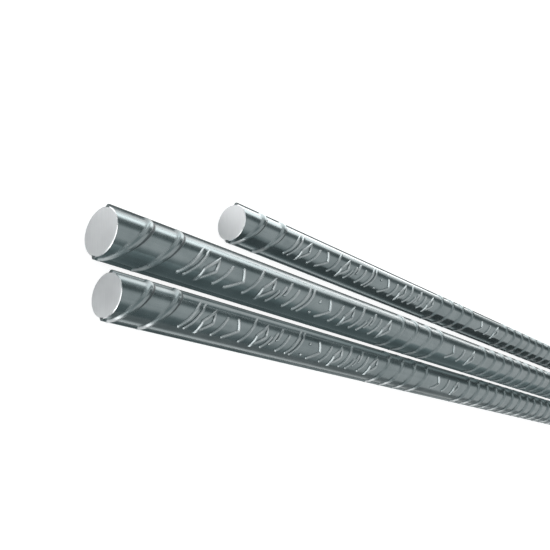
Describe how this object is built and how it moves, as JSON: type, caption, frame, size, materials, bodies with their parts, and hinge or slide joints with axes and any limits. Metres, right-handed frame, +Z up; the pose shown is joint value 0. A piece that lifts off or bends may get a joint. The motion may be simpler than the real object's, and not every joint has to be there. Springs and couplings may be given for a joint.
{
  "type": "rebar bundle",
  "caption": "Loose bundle of straight ribbed steel reinforcing bars lying side by side, each a rolled round core with longitudinal ribs and square sawn ends, for reinforcing concrete.",
  "frame": {"origin": "centre of the bundle's outline on the floor that the bars lie on", "axes": "+X along the bars, away from the near ends, +Y from the front bar to the back bar, +Z up"},
  "size_m": [2.1028, 0.097, 0.0274],
  "materials": {
    "hot_rolled_steel": "satin grey hot-rolled skin, paler sawn ends"
  },
  "bodies": {
    "root": {"rebar_front": "hot_rolled_steel", "rebar_middle": "hot_rolled_steel", "rebar_back": "hot_rolled_steel"}
  },
  "joints": []
}
